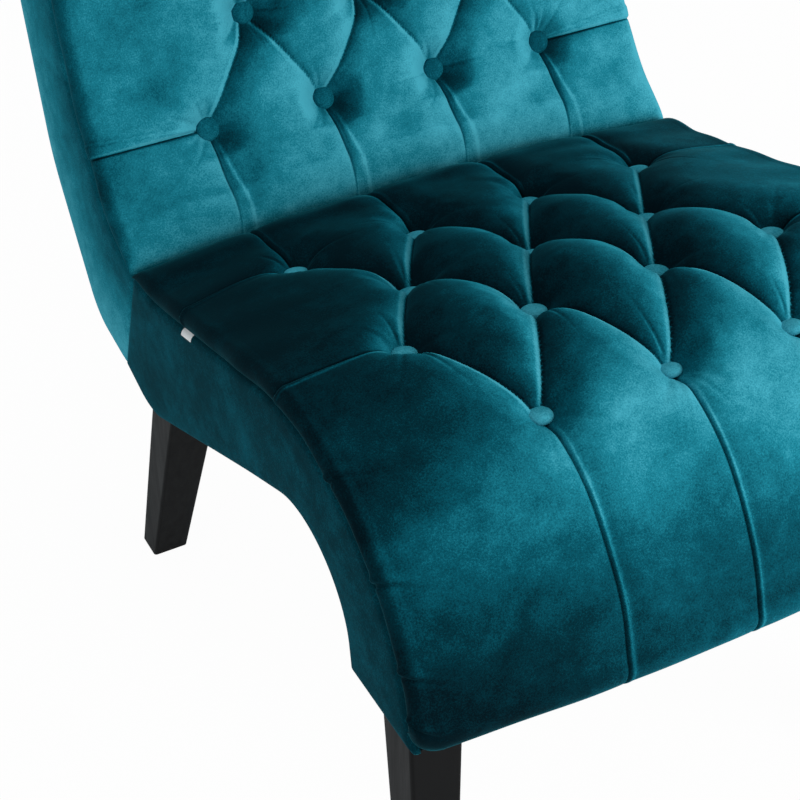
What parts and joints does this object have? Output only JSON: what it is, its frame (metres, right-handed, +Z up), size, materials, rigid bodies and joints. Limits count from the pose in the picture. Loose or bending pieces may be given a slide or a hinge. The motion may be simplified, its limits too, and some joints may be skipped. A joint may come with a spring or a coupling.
{
  "type": "slipper chair",
  "caption": "Armless slipper chair with a diamond-tufted seat and back on one curved frame, on tapered wooden legs.",
  "frame": {"origin": "on the floor, under the middle of the chair from side to side and from front to back", "axes": "+Z up, -Y towards the front edge of the seat, +X to the right of someone who looks at the chair's front"},
  "size_m": [0.5308, 0.8247, 0.8465],
  "materials": {
    "velvet": "cut velvet, short directional pile, deep teal",
    "plywood": "sawn plywood, unfinished",
    "rail_timber": "planed softwood, unfinished",
    "foam": "open-cell upholstery foam",
    "webbing": "woven jute strap",
    "twine": "waxed tufting twine",
    "leg_lacquer": "black satin lacquer on hardwood",
    "zinc_steel": "bright zinc plated steel",
    "nylon": "moulded nylon",
    "lining": "black non-woven lining cloth",
    "tab_ribbon": "white woven ribbon, blank"
  },
  "bodies": {
    "root": {"back_bottom_rail": "rail_timber", "back_buttons": "velvet", "back_foam": "foam", "back_lower_rail": "rail_timber", "back_middle_rail": "rail_timber", "back_rear_cover": "velvet", "back_side_cover_left": "velvet", "back_side_cover_right": "velvet", "back_side_frame_left": "plywood", "back_side_frame_right": "plywood", "back_top_rail": "rail_timber", "back_tufted_pad": "velvet", "back_twine_toggles": "rail_timber", "back_twines": "twine", "back_webbing": "webbing", "dust_cover": "lining", "floor_glides": "nylon", "front_leg_left": "leg_lacquer", "front_leg_rail": "rail_timber", "front_leg_right": "leg_lacquer", "joint_bolts": "zinc_steel", "joint_nuts": "zinc_steel", "joint_washers": "zinc_steel", "leg_bolts": "zinc_steel", "leg_tee_nuts": "zinc_steel", "rear_leg_left": "leg_lacquer", "rear_leg_rail": "rail_timber", "rear_leg_right": "leg_lacquer", "seam_tab": "tab_ribbon", "seat_buttons": "velvet", "seat_crest_rail": "rail_timber", "seat_foam": "foam", "seat_front_panel": "plywood", "seat_rear_rail": "rail_timber", "seat_side_cover_left": "velvet", "seat_side_cover_right": "velvet", "seat_side_frame_left": "plywood", "seat_side_frame_right": "plywood", "seat_tufted_pad": "velvet", "seat_twine_toggles": "rail_timber", "seat_twines": "twine", "seat_webbing": "webbing"}
  },
  "joints": []
}
